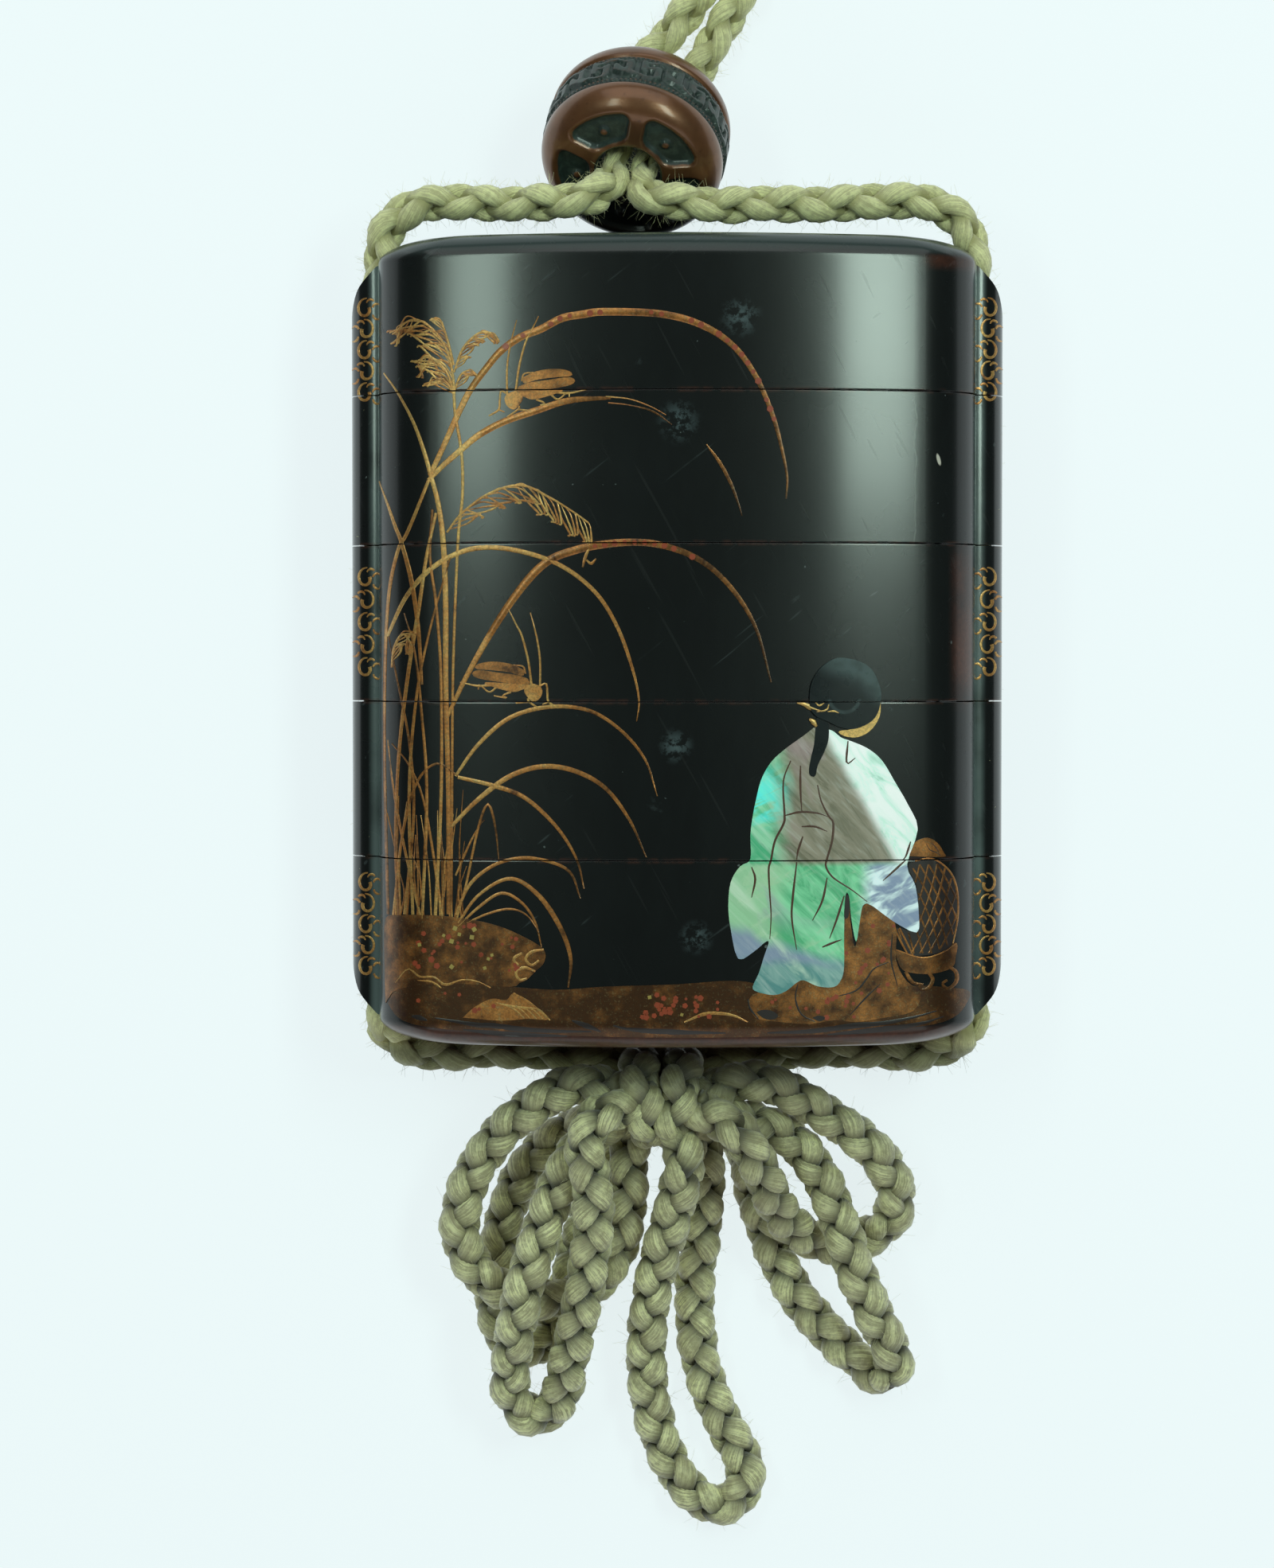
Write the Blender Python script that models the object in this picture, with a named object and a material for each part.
"""An inro: five stacked lacquer sections with cord runners at their narrow sides, held by a
braided silk cord with an ojime bead above and a bow of loops tied below.

It lies on its back. +X runs across the case, +Y towards the lid and +Z out of the decorated face.
"""

import math

import bmesh
import bpy
from mathutils import Matrix, Vector

MM = 0.001

# Case
BODY_WIDTH = 49.9 * MM  # across the lens-shaped body, without the runners
CASE_DEPTH = 21.0 * MM  # from the flat of the back to the crown of the face
BACK_FLAT = 0.2 * MM  # how deep the resting flat is cut into the back's curve
FACE_RADIUS = 80.0 * MM
SHOULDER_RADIUS = 6.2 * MM
LID_HEIGHT = 13.5 * MM
CASE_1_HEIGHT = 12.5 * MM
CASE_2_HEIGHT = 13.0 * MM
CASE_3_HEIGHT = 13.0 * MM
BASE_HEIGHT = 16.0 * MM
CROWN_RISE = 0.8 * MM  # slow rise of the domed ends
EDGE_DROP = 1.8 * MM  # quick fall at their rounded edge
EDGE_SHARE = 0.2  # share of the dome's half width that the rounded edge takes
WALL = 1.3 * MM
FLOOR = 1.3 * MM
RISER_HEIGHT = 4.0 * MM  # the inner rim that stands up into the section above
RISER_WALL = 1.0 * MM
FIT_GAP = 0.3 * MM

# Cord runners
CORD_DIAMETER = 2.8 * MM
RUNNER_WALL = 0.8 * MM
RUNNER_INSET = 0.15 * MM  # how far the runner's axis lies inside the body's side
RUNNER_CHAMFER = 2.47 * MM  # fall of the runner's end over its projecting width
RUNNER_NOSE = 1.9 * MM  # further fall at its outermost line
INNER_WALL = 0.8 * MM  # between a cord channel and the hollow

# Ojime
BEAD_DIAMETER = 15.4 * MM
BEAD_LENGTH = 9.2 * MM
BEAD_RIM_RADIUS = 2.4 * MM
BEAD_BORE = 5.3 * MM
BORE_LIP = 0.7 * MM
WAIST_WIDTH = 3.4 * MM
WAIST_DEPTH = 0.25 * MM
LOBES = 5
LOBE_DEPTH = 0.6 * MM
LOBE_GAP = 1.1 * MM  # ridge between two lobes
BEAD_CENTRE = Vector((-3.45, 42.15, 7.72)) * MM
BEAD_AXIS = Vector((0.15, 0.69, -0.71)).normalized()  # from the case towards the far strands
STRAND_SPREAD = 1.25 * MM  # each strand's offset from the bore's axis

# Bow
LOOP_DIAMETER = 3.4 * MM
KNOT_LOW = Vector((-5.4, -42.3, 1.2)) * MM
KNOT_HIGH = Vector((4.2, -36.3, 11.8)) * MM
KNOT_ROUNDING = 2.2 * MM
WRAP_DIAMETER = 3.6 * MM
WRAP_PLACES = (-2.6 * MM, 0.9 * MM)
END_KNOT_CENTRE = Vector((6.4, 64.4, 4.0)) * MM
END_KNOT_RADIUS = 3.9 * MM
END_WRAP_DIAMETER = 2.6 * MM

# Mesh fineness
FACE_STEPS = 6
SHOULDER_STEPS = 5
ROUND_SIDES = 16
BEAD_SIDES = 30
CORD_STEP = 2.5  # distance between a cord's points on a slow bend, in diameters
CORD_TURN = math.radians(26)  # turn between a cord's points on a quick bend

HALF_DEPTH = (CASE_DEPTH + BACK_FLAT) / 2
MID_Z = CASE_DEPTH - HALF_DEPTH
FACE_DROP = FACE_RADIUS - HALF_DEPTH  # the face arc's centre lies this far behind the middle
BODY_HALF = BODY_WIDTH / 2
RIM_DROP = CROWN_RISE + EDGE_DROP
CHANNEL_RADIUS = CORD_DIAMETER / 2 + FIT_GAP
RUNNER_RADIUS = CHANNEL_RADIUS + RUNNER_WALL
RUNNER_X = BODY_HALF - RUNNER_INSET
SOCKET_HALF = RUNNER_X - CHANNEL_RADIUS - INNER_WALL
RISER_HALF = SOCKET_HALF - FIT_GAP
CAVITY_HALF = RISER_HALF - RISER_WALL
RISER_INSET = WALL + FIT_GAP
CAVITY_INSET = RISER_INSET + RISER_WALL
OVERRUN = 1.0 * MM  # how far a cutter runs past what it cuts

CASE_HEIGHT = LID_HEIGHT + CASE_1_HEIGHT + CASE_2_HEIGHT + CASE_3_HEIGHT + BASE_HEIGHT
BASE_Y = -CASE_HEIGHT / 2
SEAM_4 = BASE_Y + BASE_HEIGHT
SEAM_3 = SEAM_4 + CASE_3_HEIGHT
SEAM_2 = SEAM_3 + CASE_2_HEIGHT
SEAM_1 = SEAM_2 + CASE_1_HEIGHT
TOP_Y = CASE_HEIGHT / 2

# The cords' routes in millimetres, each from one end to the other.
CORD_LEFT = [
    (-6.9, -37.0, 5.4), (-9.6, -36.5, 5.4), (-13.0, -36.1, 5.8), (-17.0, -36.0, 6.4),
    (-20.8, -36.1, 7.4), (-23.3, -35.4, 8.8), (-24.6, -33.8, 9.9), (-24.8, -31.4, 10.4),
    (-24.8, -20.0, 10.4), (-24.8, 0.0, 10.4), (-24.8, 20.0, 10.4), (-24.8, 30.6, 10.4),
    (-24.7, 33.2, 10.4), (-23.7, 35.3, 10.6), (-21.2, 36.6, 11.0), (-17.6, 36.7, 11.4),
    (-13.6, 36.5, 12.2), (-9.8, 36.6, 13.2), (-7.1, 37.0, 13.6),
]
CORD_RIGHT = [
    (5.7, -36.9, 4.4), (8.4, -36.5, 4.2), (12.0, -36.1, 4.6), (16.4, -36.0, 5.8),
    (20.6, -36.1, 7.2), (23.3, -35.4, 8.8), (24.6, -33.8, 9.9), (24.8, -31.4, 10.4),
    (24.8, -20.0, 10.4), (24.8, 0.0, 10.4), (24.8, 20.0, 10.4), (24.8, 30.6, 10.4),
    (24.7, 33.2, 10.4), (23.7, 35.3, 10.6), (21.2, 36.6, 11.0), (17.2, 36.8, 11.2),
    (12.8, 36.5, 11.6), (8.4, 36.5, 12.2), (4.2, 36.3, 13.0), (0.6, 36.4, 13.7),
    (-1.8, 36.9, 13.4),
]
FAR_LEFT = [(-2.9, 49.4, 1.8), (-0.5, 52.3, 1.5), (1.6, 55.2, 1.5), (3.3, 57.8, 1.9), (4.5, 59.8, 2.7)]
FAR_RIGHT = [(1.4, 48.4, 1.8), (3.3, 51.7, 1.5), (5.1, 55.0, 1.5), (6.7, 57.7, 1.9), (7.6, 59.7, 2.7)]
LOOP_LEFT_OUTER = [
    (-6.9, -37.5, 9.8), (-9.1, -37.6, 9.6), (-11.4, -38.9, 9.0), (-14.0, -40.8, 8.2),
    (-16.4, -43.6, 7.4), (-18.0, -46.9, 6.8), (-18.5, -50.3, 6.3), (-17.5, -53.3, 5.9),
    (-15.1, -55.4, 5.7), (-12.2, -56.2, 5.6), (-9.4, -56.1, 5.6), (-6.8, -54.7, 5.7),
    (-5.1, -52.0, 5.7), (-4.3, -48.7, 5.8), (-4.1, -46.0, 5.8), (-4.1, -43.7, 5.8),
]
LOOP_LEFT_UNDER = [
    (-6.9, -41.0, 4.4), (-9.0, -42.0, 2.9), (-11.0, -43.2, 2.0), (-12.7, -45.0, 1.8),
    (-14.2, -47.7, 1.8), (-15.1, -51.0, 1.8), (-15.6, -54.3, 1.8), (-15.8, -57.2, 1.8),
    (-15.0, -59.9, 1.8), (-12.8, -61.2, 1.8), (-10.7, -59.7, 1.8), (-9.6, -56.5, 1.8),
    (-8.8, -53.1, 1.8), (-7.8, -49.9, 1.8), (-6.5, -47.0, 1.8), (-5.1, -45.1, 1.9),
    (-4.3, -43.7, 2.0),
]
LOOP_LEFT = [
    (-6.4, -41.2, 8.3), (-8.1, -42.8, 8.9), (-9.9, -45.7, 9.7), (-11.1, -48.8, 10.0),
    (-12.1, -51.9, 10.2), (-13.0, -55.1, 10.1), (-13.7, -58.5, 9.0), (-14.2, -62.0, 6.8),
    (-14.0, -65.0, 4.8), (-12.2, -66.7, 4.0), (-10.2, -65.3, 4.7), (-9.4, -62.2, 6.6),
    (-8.6, -58.4, 8.8), (-7.8, -55.0, 10.3), (-7.3, -51.6, 11.0), (-7.0, -48.3, 11.9),
    (-7.2, -45.2, 12.6), (-7.7, -42.2, 12.9), (-6.6, -39.8, 12.6),
]
LOOP_MIDDLE = [
    (0.7, -44.3, 10.8), (0.2, -46.2, 9.9), (-0.5, -49.1, 8.6), (-1.5, -52.7, 7.0),
    (-2.2, -56.3, 5.6), (-2.6, -59.9, 4.3), (-2.5, -63.8, 3.1), (-1.8, -67.7, 2.1),
    (-0.5, -71.2, 1.8), (1.4, -73.7, 1.8), (3.6, -74.8, 1.8), (5.5, -73.7, 1.8),
    (5.9, -71.2, 1.8), (4.5, -68.4, 1.8), (3.2, -65.7, 1.8), (2.1, -62.4, 1.8),
    (1.6, -58.7, 1.8), (1.6, -54.8, 2.0), (2.1, -51.2, 2.6), (2.4, -47.8, 3.4),
    (2.4, -44.1, 3.9),
]
LOOP_RIGHT_UPPER = [
    (5.7, -37.2, 9.0), (7.5, -37.4, 8.8), (10.1, -38.5, 8.2), (12.8, -40.3, 7.4),
    (15.6, -42.4, 6.4), (17.8, -44.8, 5.2), (18.9, -47.6, 3.8), (18.2, -50.2, 2.5),
    (16.1, -51.5, 1.9), (13.4, -52.0, 2.2), (11.1, -51.1, 3.9), (9.3, -49.3, 6.4),
    (8.1, -47.0, 9.0), (7.1, -44.6, 10.9), (6.0, -42.6, 11.9), (5.0, -41.0, 12.1),
]
LOOP_RIGHT = [
    (5.2, -40.6, 8.0), (7.6, -41.1, 7.4), (10.0, -42.6, 6.5), (12.0, -45.2, 6.0),
    (13.4, -48.2, 6.3), (14.4, -51.1, 6.8), (15.4, -54.1, 6.8), (16.7, -57.1, 6.2),
    (17.9, -59.6, 5.4), (18.7, -61.7, 4.4), (18.3, -63.3, 3.0), (16.7, -62.9, 1.9),
    (14.3, -60.9, 1.8), (11.8, -58.4, 1.8), (9.7, -55.4, 1.8), (8.2, -52.1, 1.8),
    (7.1, -49.0, 1.8), (6.4, -46.1, 1.8), (5.7, -43.2, 2.0),
]


def clear_scene():
    for item in list(bpy.data.objects):
        bpy.data.objects.remove(item, do_unlink=True)


def material(name, color, roughness, metallic=0.0):
    made = bpy.data.materials.new(name)
    made.use_nodes = True
    shader = made.node_tree.nodes["Principled BSDF"]
    shader.inputs["Base Color"].default_value = (*color, 1.0)
    shader.inputs["Roughness"].default_value = roughness
    shader.inputs["Metallic"].default_value = metallic
    return made


def add_object(name, data, finish=None):
    item = bpy.data.objects.new(name, data)
    bpy.context.collection.objects.link(item)
    if finish:
        data.materials.append(finish)
    return item


def finish_bmesh(name, mesh, finish=None):
    """Turn a bmesh into an object with its faces pointing out."""
    bmesh.ops.recalc_face_normals(mesh, faces=mesh.faces)
    data = bpy.data.meshes.new(name)
    mesh.to_mesh(data)
    mesh.free()
    return add_object(name, data, finish)


def hide_tool(item):
    item.hide_render = True
    item.display_type = "WIRE"


def combine(target, tool, operation):
    """Add or cut with a hidden helper object."""
    hide_tool(tool)
    step = target.modifiers.new(f"{operation} {tool.name}", "BOOLEAN")
    step.operation = operation
    step.object = tool
    step.solver = "EXACT"


# The sections


def lens(half_width, inset, flat_back=False):
    """Closed outline in (x, z) about the case's middle: two shallow faces with round shoulders."""
    face = FACE_RADIUS - inset
    shoulder = SHOULDER_RADIUS - inset
    centre_x = half_width - shoulder
    centre_z = max(math.sqrt((face - shoulder) ** 2 - centre_x**2) - FACE_DROP, 0.1 * MM)
    lean = math.asin(centre_x / (face - shoulder))
    quarter = []
    for step in range(FACE_STEPS):
        angle = lean * step / FACE_STEPS
        quarter.append((face * math.sin(angle), face * math.cos(angle) - FACE_DROP))
    for step in range(SHOULDER_STEPS + 1):
        angle = lean + (math.pi / 2 - lean) * step / SHOULDER_STEPS
        quarter.append((centre_x + shoulder * math.sin(angle), centre_z + shoulder * math.cos(angle)))
    right = quarter + [(x, -z) for x, z in reversed(quarter)]
    whole = right + [(-x, z) for x, z in reversed(right[1:-1])]
    if flat_back:
        whole = [(x, max(z, -MID_Z)) for x, z in whole]
    return whole


def loft(name, outline, levels, finish=None):
    """Solid through copies of an outline: each level is its y and the share of the outline."""
    mesh = bmesh.new()
    rings = [
        [mesh.verts.new((x * share, y, MID_Z + z * share)) for x, z in outline] for y, share in levels
    ]
    count = len(outline)
    for lower, upper in zip(rings, rings[1:]):
        for i in range(count):
            j = (i + 1) % count
            mesh.faces.new((lower[i], lower[j], upper[j], upper[i]))
    mesh.faces.new(rings[0])
    mesh.faces.new(rings[-1])
    return finish_bmesh(name, mesh, finish)


def dome_levels(end_y, direction):
    """Levels of a domed end from its rim to its crown; direction is +1 for the top."""
    levels = []
    for angle in (90, 68, 45, 20, 0):
        share = 1 - EDGE_SHARE + EDGE_SHARE * math.sin(math.radians(angle))
        edge = EDGE_DROP * (1 - math.cos(math.radians(angle)))
        levels.append((end_y - direction * (CROWN_RISE * share**2 + edge), share))
    for share in (0.5, 0.2):
        levels.append((end_y - direction * CROWN_RISE * share**2, share))
    return levels


def runner(name, side, low, high, low_end=None, high_end=None):
    """Round ridge along a narrow side; an end that is given slopes down outwards from its rim."""
    mesh = bmesh.new()

    def ring(y, end, direction):
        verts = []
        for step in range(ROUND_SIDES):
            angle = 2 * math.pi * step / ROUND_SIDES
            x = RUNNER_X + RUNNER_RADIUS * math.cos(angle)
            z = MID_Z + RUNNER_RADIUS * math.sin(angle)
            at = y
            if end is not None:
                out = max(0.0, (x - BODY_HALF) / (RUNNER_X + RUNNER_RADIUS - BODY_HALF))
                at = end - direction * (RIM_DROP + RUNNER_CHAMFER * out + RUNNER_NOSE * out**8)
            verts.append(mesh.verts.new((side * x, at, z)))
        return verts

    bottom, top = ring(low, low_end, -1), ring(high, high_end, 1)
    count = ROUND_SIDES
    for i in range(count):
        j = (i + 1) % count
        mesh.faces.new((bottom[i], bottom[j], top[j], top[i]))
    for verts in (bottom, top):
        mesh.faces.new((verts[0], verts[1], verts[-1]))
        for i in range(1, count // 2 - 1):
            mesh.faces.new((verts[i], verts[i + 1], verts[-i - 1], verts[-i]))
        middle = count // 2
        mesh.faces.new((verts[middle - 1], verts[middle], verts[middle + 1]))
    return finish_bmesh(name, mesh)


def channel(name, side, low, high):
    mesh = bmesh.new()
    bmesh.ops.create_cone(
        mesh, cap_ends=True, segments=ROUND_SIDES, radius1=CHANNEL_RADIUS, radius2=CHANNEL_RADIUS,
        depth=high - low + 2 * OVERRUN,
        matrix=Matrix.Translation((side * RUNNER_X, (low + high) / 2, MID_Z))
        @ Matrix.Rotation(math.pi / 2, 4, "X"),
    )
    return finish_bmesh(name, mesh)


def section(name, low, high, finish, domed_low=False, domed_high=False):
    """One section from its lower to its upper seam, with its riser, hollows and cord channels."""
    bottom = low if domed_low else low + FIT_GAP / 2
    top = high if domed_high else high - FIT_GAP / 2
    levels = list(reversed(dome_levels(low, -1))) if domed_low else [(bottom, 1.0)]
    levels += dome_levels(high, 1) if domed_high else [(top, 1.0)]
    body = loft(name, lens(BODY_HALF, 0.0, flat_back=True), levels, finish)
    for side in (-1, 1):
        ridge = runner(
            f"{name}_runner_{side}", side, bottom, top,
            low if domed_low else None, high if domed_high else None,
        )
        combine(body, ridge, "UNION")
    if not domed_high:
        riser_top = high + RISER_HEIGHT
        riser = lens(RISER_HALF, RISER_INSET)
        combine(body, loft(f"{name}_riser", riser, [(top - OVERRUN, 1), (riser_top, 1)]), "UNION")
        floor_y = low + RIM_DROP if domed_low else low + RISER_HEIGHT + FIT_GAP + FLOOR
        cavity = lens(CAVITY_HALF, CAVITY_INSET)
        hollow = loft(f"{name}_hollow", cavity, [(floor_y, 1), (riser_top + OVERRUN, 1)])
        combine(body, hollow, "DIFFERENCE")
    if not domed_low:
        ceiling = high - RIM_DROP if domed_high else low + RISER_HEIGHT + FIT_GAP
        socket = lens(SOCKET_HALF, WALL)
        combine(body, loft(f"{name}_socket", socket, [(bottom - OVERRUN, 1), (ceiling, 1)]), "DIFFERENCE")
    for side in (-1, 1):
        combine(body, channel(f"{name}_channel_{side}", side, low, high), "DIFFERENCE")
    return body


# The bead


def bead_frame():
    """Matrix that turns the bead's own z axis onto its place and lean."""
    across = Vector((BEAD_AXIS.y, -BEAD_AXIS.x, 0)).normalized()
    up = BEAD_AXIS.cross(across)
    turned = Matrix((across, up, BEAD_AXIS)).transposed().to_4x4()
    return Matrix.Translation(BEAD_CENTRE) @ turned


def bead_profile():
    """Closed profile as (radius, height): bore, lip, round rims and a shallow waist."""
    bore, half = BEAD_BORE / 2, BEAD_LENGTH / 2
    outer = BEAD_DIAMETER / 2
    rim = BEAD_RIM_RADIUS
    lower = [(bore, -half + BORE_LIP), (bore + 0.3 * BORE_LIP, -half + 0.3 * BORE_LIP), (bore + BORE_LIP, -half)]
    for step in range(5):
        angle = math.pi / 2 * step / 4
        lower.append((outer - rim + rim * math.sin(angle), -half + rim - rim * math.cos(angle)))
    lower += [
        (outer, -WAIST_WIDTH / 2 - WAIST_DEPTH),
        (outer - WAIST_DEPTH, -WAIST_WIDTH / 2),
    ]
    return lower + [(radius, -height) for radius, height in reversed(lower)]


def ojime(finish):
    mesh = bmesh.new()
    verts = [mesh.verts.new((radius, 0, height)) for radius, height in bead_profile()]
    edges = [mesh.edges.new((a, b)) for a, b in zip(verts, verts[1:] + verts[:1])]
    bmesh.ops.spin(
        mesh, geom=verts + edges, cent=(0, 0, 0), axis=(0, 0, 1), angle=2 * math.pi,
        steps=BEAD_SIDES, use_merge=True,
    )
    bmesh.ops.remove_doubles(mesh, verts=mesh.verts, dist=0.001 * MM)
    bead = finish_bmesh("ojime", mesh, finish)
    for end in (-1, 1):
        for index in range(LOBES):
            combine(bead, lobe_cutter(f"lobe_{end}_{index}", end, index), "DIFFERENCE")
    bead.matrix_world = bead_frame()
    for step in bead.modifiers:
        step.object.matrix_world = bead_frame()
    return bead


def lobe_cutter(name, end, index):
    """Sector-shaped block for one sunk lobe of an end face."""
    inner = BEAD_BORE / 2 + BORE_LIP + 0.25 * MM
    outer = BEAD_DIAMETER / 2 - BEAD_RIM_RADIUS + 0.4 * MM
    middle = math.tau * (index + 0.5) / LOBES + math.pi / 2
    mesh = bmesh.new()
    outline = []
    for radius, order in ((inner, 1), (outer, -1)):
        half_angle = math.pi / LOBES - LOBE_GAP / 2 / radius
        for step in (-1, -0.4, 0.4, 1):
            angle = middle + order * step * half_angle
            outline.append((radius * math.cos(angle), radius * math.sin(angle)))
    face_z = end * BEAD_LENGTH / 2
    levels = [face_z + end * OVERRUN, face_z - end * LOBE_DEPTH]
    rings = [[mesh.verts.new((x, y, z)) for x, y in outline] for z in levels]
    count = len(outline)
    for i in range(count):
        j = (i + 1) % count
        mesh.faces.new((rings[0][i], rings[0][j], rings[1][j], rings[1][i]))
    mesh.faces.new(rings[0])
    mesh.faces.new(rings[1])
    return finish_bmesh(name, mesh)


# The cord


def smooth_curve(points, fineness=12):
    """Closely spaced places on the smooth curve through all the points."""
    ends = [2 * points[0] - points[1], *points, 2 * points[-1] - points[-2]]
    places = []
    for i in range(1, len(ends) - 2):
        a, b, c, d = ends[i - 1 : i + 3]
        for step in range(fineness):
            t = step / fineness
            places.append(
                0.5 * (2 * b + (c - a) * t + (2 * a - 5 * b + 4 * c - d) * t**2 + (3 * b - a - 3 * c + d) * t**3)
            )
    return places + [points[-1]]


def spaced(places, spacing):
    """Fewer places along a curve: one wherever it has turned enough or run a spacing on."""
    kept = [places[0]]
    heading = places[1] - places[0]
    travelled = 0.0
    for before, here, after in zip(places, places[1:], places[2:]):
        travelled += (here - before).length
        turned = heading.angle(after - here)
        if turned > CORD_TURN or (travelled > spacing and turned > CORD_TURN / 6):
            kept.append(here)
            heading = after - here
            travelled = 0.0
    return kept + [places[-1]]


def cord_radius(place, diameter):
    """A strand is squeezed where it shares the bead's bore with the other one."""
    along = (place - BEAD_CENTRE).dot(BEAD_AXIS)
    off = (place - BEAD_CENTRE - along * BEAD_AXIS).length
    reach = BEAD_LENGTH / 2 + diameter
    if off < BEAD_BORE / 2 and abs(along) < reach:
        return (STRAND_SPREAD - FIT_GAP / 2) / (diameter / 2)
    return 1.0


def tube(name, route, diameter, finish):
    """Plain round cord through a route."""
    data = bpy.data.curves.new(name, "CURVE")
    data.dimensions = "3D"
    data.bevel_depth = diameter / 2
    data.bevel_resolution = 2
    data.use_fill_caps = True
    places = spaced(smooth_curve(route), CORD_STEP * diameter)
    spline = data.splines.new("POLY")
    spline.points.add(len(places) - 1)
    for point, place in zip(spline.points, places):
        point.co = (*place, 1)
        point.radius = cord_radius(place, diameter)
    return add_object(name, data, finish)


def strand_route(near, far, side):
    """A strand's whole route: along the case, through the bead and on to its far end."""
    across = Vector((BEAD_AXIS.y, -BEAD_AXIS.x, 0)).normalized()
    through = [
        BEAD_CENTRE + BEAD_AXIS * (share * BEAD_LENGTH) + across * (side * STRAND_SPREAD)
        for share in (-0.62, -0.3, 0, 0.3, 0.64)
    ]
    return [Vector(p) * MM for p in near] + through + [Vector(p) * MM for p in far]


def closed_tube(name, places, diameter):
    """Ring of cord through places, as a mesh."""
    data = bpy.data.curves.new(name, "CURVE")
    data.dimensions = "3D"
    data.bevel_depth = diameter / 2
    data.bevel_resolution = 2
    spline = data.splines.new("POLY")
    spline.points.add(len(places) - 1)
    spline.use_cyclic_u = True
    for point, place in zip(spline.points, places):
        point.co = (*place, 1)
    guide = add_object(f"{name}_guide", data)
    made = add_object(name, bpy.data.meshes.new_from_object(guide))
    bpy.data.objects.remove(guide, do_unlink=True)
    return made


def bow_knot(finish):
    """Body of the bow's knot with two turns of cord standing proud around it."""
    middle = (KNOT_LOW + KNOT_HIGH) / 2
    half = (KNOT_HIGH - KNOT_LOW) / 2
    mesh = bmesh.new()
    bmesh.ops.create_cube(
        mesh, size=2.0, matrix=Matrix.Translation(middle) @ Matrix.Diagonal((*half, 1.0))
    )
    bmesh.ops.bevel(mesh, geom=mesh.edges[:], offset=KNOT_ROUNDING, segments=3, profile=0.5, affect="EDGES")
    body = finish_bmesh("bow_knot", mesh, finish)
    sink = WRAP_DIAMETER * 0.2
    for index, x in enumerate(WRAP_PLACES):
        places = []
        for step in range(20):
            angle = math.tau * (step + 0.5) / 20
            squared = [math.copysign(abs(v) ** 0.55, v) for v in (math.cos(angle), math.sin(angle))]
            reach_y, reach_z = half.y - sink, half.z - sink
            places.append(Vector((x, middle.y + reach_y * squared[0], middle.z + reach_z * squared[1])))
        combine(body, closed_tube(f"wrap_{index}", places, WRAP_DIAMETER), "UNION")
    return body


def end_knot(finish):
    """Round knot that joins the two strands, with one turn of cord around it."""
    mesh = bmesh.new()
    bmesh.ops.create_uvsphere(
        mesh, u_segments=16, v_segments=10, radius=END_KNOT_RADIUS,
        matrix=Matrix.Translation(END_KNOT_CENTRE),
    )
    body = finish_bmesh("end_knot", mesh, finish)
    places = []
    reach = END_KNOT_RADIUS - END_WRAP_DIAMETER * 0.3
    for step in range(16):
        angle = math.tau * (step + 0.5) / 16
        turn = Vector((math.cos(angle), 0.35 * math.sin(angle), 0.94 * math.sin(angle)))
        places.append(END_KNOT_CENTRE + turn * (reach - 0.12 * END_WRAP_DIAMETER))
    combine(body, closed_tube("end_wrap", places, END_WRAP_DIAMETER), "UNION")
    return body


def main():
    clear_scene()
    lacquer = material("lacquer", (0.012, 0.016, 0.016), 0.28)
    copper = material("copper", (0.20, 0.085, 0.045), 0.42, 0.6)
    silk = material("silk", (0.36, 0.38, 0.20), 0.75)

    section("lid", SEAM_1, TOP_Y, lacquer, domed_high=True)
    section("case_1", SEAM_2, SEAM_1, lacquer)
    section("case_2", SEAM_3, SEAM_2, lacquer)
    section("case_3", SEAM_4, SEAM_3, lacquer)
    section("base", BASE_Y, SEAM_4, lacquer, domed_low=True)

    ojime(copper)
    bow_knot(silk)
    end_knot(silk)
    tube("cord_left", strand_route(CORD_LEFT, FAR_LEFT, -1), CORD_DIAMETER, silk)
    tube("cord_right", strand_route(CORD_RIGHT, FAR_RIGHT, 1), CORD_DIAMETER, silk)
    for name, points in (
        ("bow_loop_left_outer", LOOP_LEFT_OUTER),
        ("bow_loop_left_under", LOOP_LEFT_UNDER),
        ("bow_loop_left", LOOP_LEFT),
        ("bow_loop_middle", LOOP_MIDDLE),
        ("bow_loop_right_upper", LOOP_RIGHT_UPPER),
        ("bow_loop_right", LOOP_RIGHT),
    ):
        tube(name, [Vector(p) * MM for p in points], LOOP_DIAMETER, silk)


main()
